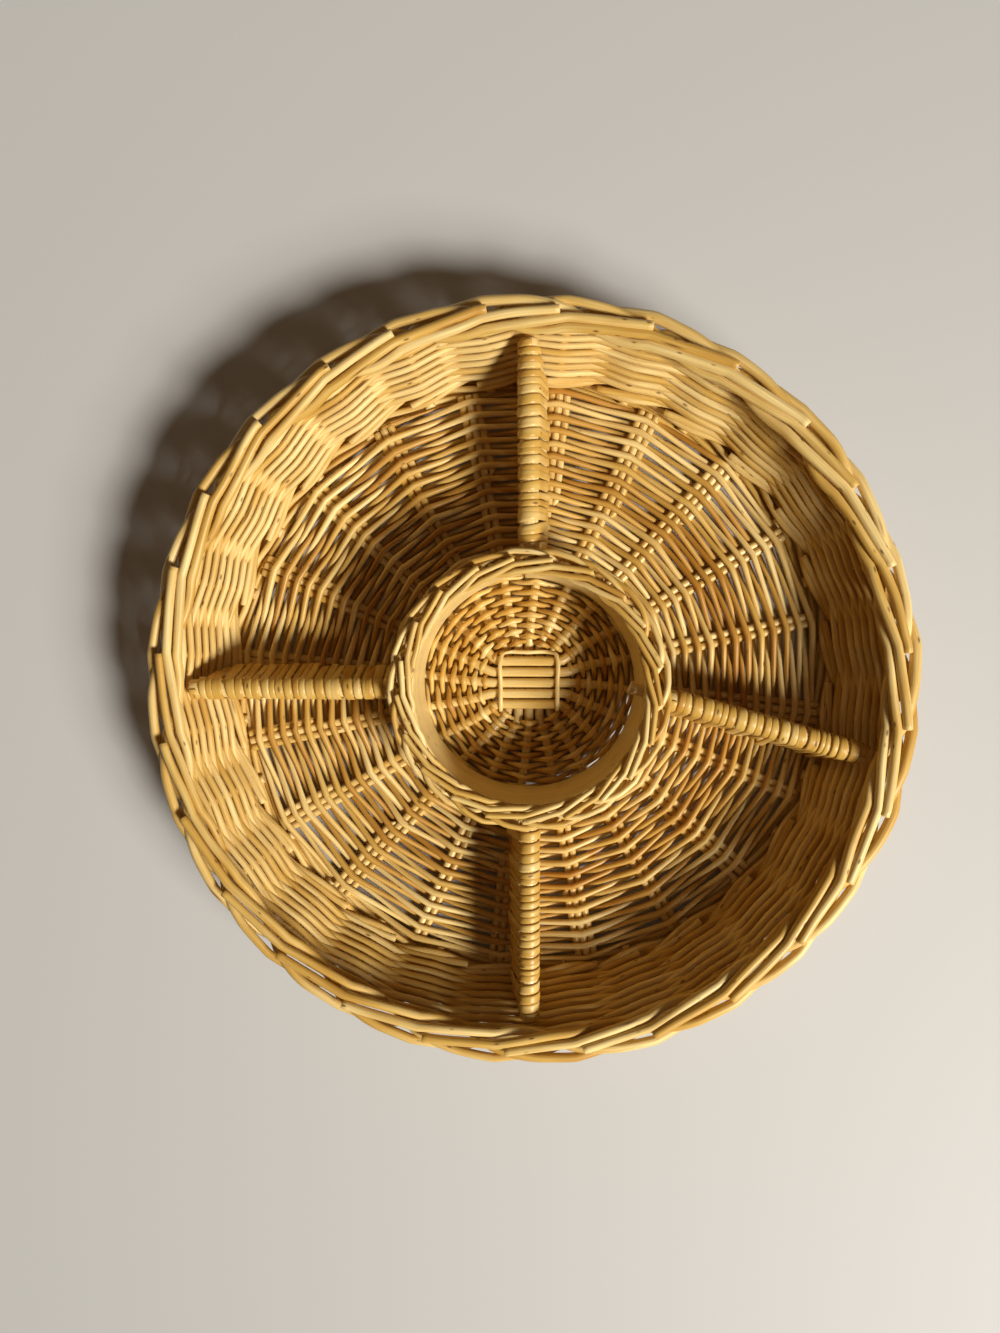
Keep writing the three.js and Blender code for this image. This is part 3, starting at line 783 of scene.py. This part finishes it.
def wall_weavers(rng, sizes, made):
    """One wall rod from each stake, climbing in front of one stake and behind the next.

    The climb is even from the foot to the border, and the depth is the wall's reach times the
    weave wave. Each rod starts with a short spare butt inside the wall, and runs on past its last
    stake with a thinner tip. Towards the side of the tray whose inside faces the key light, the
    rods bow further and are thinner, by the square of a raised cosine. Their tone there is also
    made paler, as a painted highlight for that lit side. A rod is pressed broader where it lies on
    a stake.
    """
    count, crossings, tip = sizes.stakes, 16, 0.7
    stations = crossings * 12 + 1
    low, high = 5.2 * MM, made.slant - 1.0 * MM
    butt = rng.uniform(0.15, 0.5, (count, 1))
    crossing = -butt + (crossings + butt + tip) * np.linspace(0, 1, stations)
    spare = np.clip(-3 * crossing, 0, 1)
    past = np.clip(crossing - crossings, 0, tip) / tip
    start = made.stake_phase - made.stake_spacing * np.arange(count)[:, None]
    angle = start - crossing * made.stake_spacing
    climb = low + (high - low) * np.minimum(crossing, crossings) / crossings
    climb = climb + sway(rng, count, stations, 30, 0.09 * MM) + 0.5 * MM * past
    wave = -weave_wave(np.maximum(crossing, 0), 0.93)
    # How near a rod is to the side whose inside faces the key light: it deepens the bow, thins the
    # rod and paints a highlight into its tone.
    toward_lit_side = (0.5 + 0.5 * np.cos(angle - math.radians(140))) ** 2
    depth = (made.wall_reach + 1.1 * MM * toward_lit_side) * wave - 0.9 * MM * spare
    depth = depth + sway(rng, count, stations, 30, 0.08 * MM)
    thickness = np.linspace(1.05, 0.98, stations) * (1 + rng.normal(0, 0.03, (count, 1)))
    thickness = thickness * (1 - 0.15 * toward_lit_side)
    half_width = sizes.wall_rod / 2 * thickness * (1 - 0.3 * past)
    broad = half_width * (0.94 + 0.13 * np.clip(5 * wave ** 2, 0, 1) - 0.1 * spare)
    # The tone is made paler toward the side that faces the key light: painted highlight, not the
    # willow's own colour.
    tone = rng.uniform(0.2, 0.58, (count, 1)) + sway(rng, count, stations, 4, 0.07) - 0.14 * toward_lit_side
    return sweep(on_wall(made, angle, climb, depth), half_width, broad,
                 guide=wall_normal(made, angle), tone=tone)


def wale_ropes(rng, sizes, made):
    """Three rings of three rods each, which hold the foot of the wall.

    Each ring is one closed line that goes round three times. In the two that the tray stands on
    it also turns about a circle, once in three stake spacings. In the third it passes outside two
    stakes and behind the next, and is behind by a power of a raised cosine.
    """
    rounds, half = 3, sizes.wale_rod / 2
    level, spin = 2.05 * half, 1.16 * half
    steps = sizes.stakes * 10
    gone = np.arange(steps) / steps
    turn = FULL_TURN * gone * sizes.stakes
    ropes = []
    for radius in (made.foot - 2.6 * MM, made.foot + 1.6 * MM):
        path = around(-FULL_TURN * rounds * gone, radius + spin * np.cos(turn),
                      level + 0.85 * spin * np.sin(turn))
        tone = 0.5 + sway(rng, 1, steps, 9, 0.15)
        ropes.append(sweep(path[None], half, tone=tone, looped=True))
    steps = sizes.stakes * 24
    gone = np.arange(steps) / steps
    beat = FULL_TURN * sizes.stakes * gone
    angle = made.stake_phase - FULL_TURN * rounds * gone
    behind = (0.5 + 0.5 * np.cos(beat)) ** 2.2
    outwards = ((sizes.stake + sizes.wale_rod) / 2 + 0.4 * MM) * (1 - 2 * behind)
    path = on_wall(made, angle, 2.9 * MM + 1.85 * MM * np.sin(beat), outwards)
    ropes.append(sweep(path[None], half, guide=wall_normal(made, angle), tone=0.4, looped=True))
    return ropes


class TRAY_OT_wall_weave(bpy.types.Operator):
    """Rand the wall between the stakes and lay the wale that the tray stands on"""
    bl_idname = "tray.wall_weave"
    bl_label = "Wall weave and wale"
    bl_options = {"REGISTER", "UNDO"}

    def execute(self, context):
        sizes, made = plan(context)
        rng = np.random.default_rng(59)
        new_piece("wall_rods", [wall_weavers(rng, sizes, made)], "wall_willow",
                  ["wall_weave"])
        new_piece("foot_wale", wale_ropes(rng, sizes, made), "wall_willow")
        return {"FINISHED"}


class TRAY_OT_cup_band(bpy.types.Operator):
    """Bend the flat band to a ring inside the cup and lap its end"""
    bl_idname = "tray.cup_band"
    bl_label = "Cup band"
    bl_options = {"REGISTER", "UNDO"}

    def execute(self, context):
        sizes, made = plan(context)
        stations = 241
        lap = math.radians(10)
        turn = np.linspace(0, FULL_TURN + lap, stations)
        # Over three laps' length the end slips behind the start, as a smooth step.
        behind = np.clip((turn - FULL_TURN + 3 * lap) / (3 * lap), 0, 1)
        step = behind ** 2 * (3 - 2 * behind) * sizes.cup_band * 1.06
        radius = sizes.cup_bore + sizes.cup_band / 2 + step
        low, high = made.floor + 3.8 * MM, made.cup_top + 0.8 * MM
        angle = math.radians(92) - turn
        path = around(angle, radius - 0.5 * MM, (low + high) / 2)[None]
        band = sweep(path, (high - low) / 2, sizes.cup_band / 2,
                     guide=around(angle, 0.06, np.ones(stations)), sides=16, tone=0.16, square=0.35)
        new_piece("cup_band_strip", [band], "band_willow", ["cup_band"])
        return {"FINISHED"}


class TRAY_OT_cup_wall(bpy.types.Operator):
    """Weave the cup's wall round its uprights"""
    bl_idname = "tray.cup_wall"
    bl_label = "Cup wall"
    bl_options = {"REGISTER", "UNDO"}

    def execute(self, context):
        sizes, made = plan(context)
        rng = np.random.default_rng(67)
        count = sizes.cup_stakes
        half, row = 1.15 * MM, 1.6 * MM
        low, high = made.floor_top - 1 * MM, made.cup_top - 1.5 * MM
        # One long weaver climbs a row in each round, now outside an upright and now inside.
        crossings = int((high - low) / row * count)
        stations = crossings * 8 + 1
        crossing = np.linspace(0, crossings, stations)
        reach = sizes.cup_stake / 2 + half
        radius = made.cup_radius + reach * weave_wave(crossing, 0.95)
        radius = radius + sway(rng, 1, stations, 160, 0.1 * MM)
        level = low + row * crossing / count + sway(rng, 1, stations, 160, 0.12 * MM)
        angle = made.cup_phase + crossing * FULL_TURN / count
        tone = np.take(rng.uniform(0.2, 0.8, 64), (crossing / count).astype(int))
        rods = sweep(around(angle, radius, level), half, sides=7, tone=tone)
        new_piece("cup_wall_rods", [rods], "wall_willow", ["cup_wall"])
        return {"FINISHED"}


class TRAY_OT_cup_border(bpy.types.Operator):
    """Stand the cup's uprights and turn them down into its plaited border"""
    bl_idname = "tray.cup_border"
    bl_label = "Cup border"
    bl_options = {"REGISTER", "UNDO"}

    def execute(self, context):
        sizes, made = plan(context)
        rng = np.random.default_rng(71)
        level = np.array(
            [made.floor + 3 * MM, 22 * MM, 33 * MM, made.cup_top - 4 * MM, made.cup_top])
        knots = np.stack(
            [np.zeros_like(level), np.full_like(level, made.cup_radius), level], axis=-1)
        angle, radius, level, half_width = border_rods(
            rng, sizes.cup_stakes, made.cup_phase, knots, made.cup_border_out, made.cup_border_up,
            sizes.cup_border_rod, 90, uneven=0.22 * MM, swing=0.02)
        tone = rng.uniform(0.2, 0.66, (sizes.cup_stakes, 1))
        bundle = sweep(around(angle, radius, level), half_width, guide=around(angle, 1, 0 * angle),
                       sides=10, tone=tone)
        new_piece("cup_border_rods", [bundle], "border_willow", ["cup_border"])
        return {"FINISHED"}


def bound_line(share, gap, top, foot, top_half, foot_half):
    """A line wound round two rods, as [aside, level], at a share of one loop.

    The loop is an arc over the top rod, a straight side, an arc under the foot rod and a straight
    side. Its outward direction turns only on the arcs, and its middle and radius change only on
    the sides.
    """
    top_end, side_end, foot_run, foot_end = 0.34, 0.56, 0.22, 0.78
    along = np.stack([foot[0] - top[0], foot[1] - top[1]], axis=-1)
    apart = np.linalg.norm(along, axis=-1)
    facing = np.arctan2(along[..., 1], along[..., 0])
    open_angle = np.arccos(np.clip((foot_half - top_half) / apart, -1, 1))
    first = facing + math.pi - open_angle
    top_arc = 2 * open_angle
    arcs = (np.clip(share / top_end, 0, 1) * top_arc
            + np.clip((share - side_end) / foot_run, 0, 1) * (FULL_TURN - top_arc))
    down = np.interp(share, [0, top_end, side_end, foot_end, 1], [0, 0, 1, 1, 0])
    out = first + arcs
    reach = top_half + down * (foot_half - top_half) + gap
    aside = top[0] + down * along[..., 0] + reach * np.cos(out)
    level = top[1] + down * along[..., 1] + reach * np.sin(out)
    return aside, level


def divider_rod(rng, turned, half, start, stop, aside, level):
    """A nearly straight rod along a divider, from its start to its cut end."""
    stations = 30
    way = np.linspace(start, stop, stations)
    wander = sway(rng, 2, stations, 3, 0.12 * MM)
    path = np.stack([way, aside + wander[0], level + wander[1]], axis=-1)
    return sweep((path @ turned)[None], half, sides=14, tone=0.2)


def divider_skein(rng, turned, sizes, made, inner, top_stop, shift, top_level, foot_level):
    """One flat skein wound round both rods of a divider, from the cup to the wall.

    Each wrap has its own width, and the widths fill the length between them. The skein moves on by
    its width in each loop. Where the wall comes in below, the foot of the loop climbs with it, so
    the loop gets shorter, leans less and is tighter.
    """
    steps = 36
    wraps = round((top_stop - inner) / sizes.skein)
    width = np.clip(np.exp(rng.normal(0, 0.3, wraps + 1)), 0.55, 1.7)
    width *= (top_stop - 4 * MM - inner) / width[:-1].sum()
    edge = inner + np.concatenate([[0], np.cumsum(width)])
    wrap = np.arange(wraps * steps + 1) / steps
    turn = np.arange(wraps + 1)

    def loose(size):
        """Unevenness from wrap to wrap."""
        return np.interp(wrap, turn + 0.5, rng.normal(0, size, wraps + 1))

    station = np.interp(wrap, np.arange(wraps + 2), edge)
    across = np.interp(wrap, turn + 0.5, width)
    foot = wall_level(made, np.hypot(station + 2 * MM, shift)) + 2.5 * MM
    foot = np.minimum(np.maximum(foot_level, foot), top_level - 1.5 * MM)
    share = (top_level - foot) / (top_level - foot_level)
    half_foot = sizes.foot_rod / 2 * np.clip(share * 1.4, 0.35, 1)
    gap = sizes.skein_thickness * (0.55 + loose(0.16))
    aside, level = bound_line(
        (wrap + 0.2) % 1, gap, (np.zeros_like(foot), np.full_like(foot, top_level)),
        (-sizes.lean * share + loose(0.7 * MM), foot + np.abs(loose(0.5 * MM))),
        np.full_like(foot, sizes.top_rod / 2), half_foot)
    path = np.stack([station + across / 2, shift + aside, level], axis=-1)
    tone = np.take(rng.uniform(0.34, 0.64, wraps + 2), (wrap + 0.53).astype(int))
    return sweep((path @ turned)[None], across / 2 - 0.2 * MM, sizes.skein_thickness / 2,
                 guide=np.array([1.0, 0, 0]) @ turned, sides=10, tone=tone, square=0.7)


class TRAY_OT_dividers(bpy.types.Operator):
    """Lay each divider's two rods and wind its skein round them"""
    bl_idname = "tray.dividers"
    bl_label = "Dividers"
    bl_options = {"REGISTER", "UNDO"}

    def execute(self, context):
        sizes, made = plan(context)
        top_level = (TOP_ROD_LOW + TOP_ROD_HIGH) / 2
        foot_level = made.floor_top + sizes.foot_rod / 2 + sizes.skein_thickness
        inner = made.cup_outside + 0.4 * MM
        wall = wall_radius(made, top_level - 2.5 * MM) + 0.4 * MM
        foot_stop = wall_radius(made, foot_level) - 3 * MM
        for place, (angle, shift) in enumerate(zip(DIVIDER_ANGLES, DIVIDER_SHIFTS), 1):
            rng = np.random.default_rng(80 + place)
            turned = turned_by(angle)
            top_stop = math.sqrt(wall ** 2 - (shift + sizes.top_rod / 2) ** 2)
            upper = [divider_rod(
                rng, turned, sizes.top_rod / 2, inner, top_stop, shift, top_level)]
            if shift:
                # The rod that stands aside has a peg, which pokes through the cup's band.
                band = math.sqrt(sizes.cup_bore ** 2 - shift ** 2)
                upper.append(divider_rod(
                    rng, turned, 3.3 * MM, band - 6.5 * MM, band + 6 * MM, shift, top_level))
            lower = divider_rod(rng, turned, sizes.foot_rod / 2, inner, foot_stop,
                                shift - sizes.lean, foot_level)
            skein = divider_skein(
                rng, turned, sizes, made, inner, top_stop, shift, top_level, foot_level)
            new_piece(f"divider_{place}_upper_rod", upper, "peeled_stick",
                      [f"divider_{place}_top_rod"])
            new_piece(f"divider_{place}_lower_rod", [lower], "peeled_stick",
                      [f"divider_{place}_foot_rod"])
            new_piece(f"divider_{place}_skein", [skein], "skein_willow",
                      [f"divider_{place}_winding"])
        return {"FINISHED"}


def lay_floor(scene):
    """A plain square floor on the level that the tray stands on."""
    reach = 40.0
    corners = [(-reach, -reach, 0), (reach, -reach, 0), (reach, reach, 0), (-reach, reach, 0)]
    mesh = bpy.data.meshes.new("studio_floor")
    mesh.from_pydata(corners, [], [(0, 1, 2, 3)])
    paint = bpy.data.materials.new("studio_floor")
    paint.use_nodes = True
    shader = paint.node_tree.nodes["Principled BSDF"]
    shader.inputs["Base Color"].default_value = (*scene.willow_colours.floor, 1)
    shader.inputs["Roughness"].default_value = 0.85
    mesh.materials.append(paint)
    floor = bpy.data.objects.new("studio_floor", mesh)
    scene.collection.objects.link(floor)


def set_world(scene):
    """A dim warm glow on the tray, and a pale grey backdrop wherever the world itself is seen."""
    world = bpy.data.worlds.new("studio")
    world.use_nodes = True
    tree = world.node_tree
    glow = tree.nodes["Background"]
    glow.inputs["Color"].default_value = (1.0, 0.68, 0.42, 1)
    glow.inputs["Strength"].default_value = 0.055
    backdrop = tree.nodes.new("ShaderNodeBackground")
    backdrop.inputs["Color"].default_value = (0.5, 0.49, 0.47, 1)
    seen = tree.nodes.new("ShaderNodeMixShader")
    rays = tree.nodes.new("ShaderNodeLightPath")
    tree.links.new(rays.outputs["Is Camera Ray"], seen.inputs["Fac"])
    tree.links.new(glow.outputs["Background"], seen.inputs[1])
    tree.links.new(backdrop.outputs["Background"], seen.inputs[2])
    tree.links.new(seen.outputs["Shader"], tree.nodes["World Output"].inputs["Surface"])
    scene.world = world


def hang_lights(scene):
    """A broad key light, a near lamp that falls off across the tray, and a faint light on top.

    Each faces the middle of the tray.
    """
    white, warm = (1.0, 0.97, 0.91), (1.0, 0.66, 0.42)
    sun = {"angle": math.radians(13)}
    small, large = ({"shape": "DISK", "size": size} for size in (0.24, 1.6))
    for name, kind, form, place, energy, tint in (
            ("key_light", "SUN", sun, (1.657, -1.295, 1.894), 3.1, white),
            ("near_light", "AREA", small, (0.614, -0.48, 0.702), 5.2, white),
            ("top_light", "AREA", large, (0.1, 0.2, 1.5), 0.9, warm)):
        lamp = bpy.data.lights.new(name, kind)
        lamp.energy, lamp.color = energy, tint
        for key, value in form.items():
            setattr(lamp, key, value)
        light = bpy.data.objects.new(name, lamp)
        light.visible_camera = False
        light.location = place
        light.rotation_euler = (-light.location).to_track_quat("-Z", "Y").to_euler()
        scene.collection.objects.link(light)


def set_camera(scene):
    """A camera nearly straight above the tray, turned by an angle about a level line.

    Its focal length and the height of the picture are both counted in pixels.
    """
    image_height, focal_length = 1333, 972
    lens = bpy.data.cameras.new("camera")
    lens.sensor_fit = "VERTICAL"
    lens.sensor_height = 24
    lens.sensor_width = 18
    lens.lens = focal_length / image_height * lens.sensor_height
    lens.clip_start = 0.01
    camera = bpy.data.objects.new("camera", lens)
    tilt = np.radians([-4.618, 1.711, 0])
    turn = Matrix.Rotation(np.linalg.norm(tilt), 4, unit(tilt))
    camera.matrix_world = Matrix.Translation((0, 0.05, 0.5219)) @ turn
    scene.collection.objects.link(camera)
    scene.camera = camera


class TRAY_OT_stage(bpy.types.Operator):
    """Lay the pale floor, hang the soft lights and set the camera above the tray"""
    bl_idname = "tray.stage"
    bl_label = "Stage"
    bl_options = {"REGISTER", "UNDO"}

    def execute(self, context):
        lay_floor(context.scene)
        set_world(context.scene)
        hang_lights(context.scene)
        set_camera(context.scene)
        context.scene.view_settings.view_transform = "Standard"
        return {"FINISHED"}


OPERATORS = (
    TRAY_OT_base_sticks, TRAY_OT_slath_tie, TRAY_OT_floor_weave, TRAY_OT_cup_floor,
    TRAY_OT_side_stakes, TRAY_OT_wall_weave, TRAY_OT_cup_band, TRAY_OT_cup_wall,
    TRAY_OT_cup_border, TRAY_OT_dividers, TRAY_OT_stage,
)


class TRAY_PT_panel(bpy.types.Panel):
    """The tray's sizes, colours and pieces"""
    bl_idname = "TRAY_PT_panel"
    bl_label = "Willow tray"
    bl_space_type = "VIEW_3D"
    bl_region_type = "UI"
    bl_category = "Willow tray"

    def draw(self, context):
        column = self.layout.column()
        for group in (context.scene.tray_sizes, context.scene.willow_colours):
            for name in group.__annotations__:
                column.prop(group, name)
        for operator in OPERATORS:
            column.operator(operator.bl_idname)


CLASSES = (TraySizes, WillowColours, *OPERATORS, TRAY_PT_panel)


def register():
    """Make the classes known, and give the scene its sizes and colours."""
    for entry in CLASSES:
        bpy.utils.register_class(entry)
    bpy.types.Scene.tray_sizes = PointerProperty(type=TraySizes)
    bpy.types.Scene.willow_colours = PointerProperty(type=WillowColours)


def unregister():
    """Take the sizes, the colours and the classes away again."""
    del bpy.types.Scene.willow_colours
    del bpy.types.Scene.tray_sizes
    for entry in reversed(CLASSES):
        bpy.utils.unregister_class(entry)


def main():
    """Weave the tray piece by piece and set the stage."""
    register()
    bpy.ops.tray.base_sticks()
    bpy.ops.tray.slath_tie()
    bpy.ops.tray.floor_weave()
    bpy.ops.tray.cup_floor()
    bpy.ops.tray.side_stakes()
    bpy.ops.tray.wall_weave()
    bpy.ops.tray.cup_band()
    bpy.ops.tray.cup_wall()
    bpy.ops.tray.cup_border()
    bpy.ops.tray.dividers()
    bpy.ops.tray.stage()


if __name__ == "__main__":
    main()
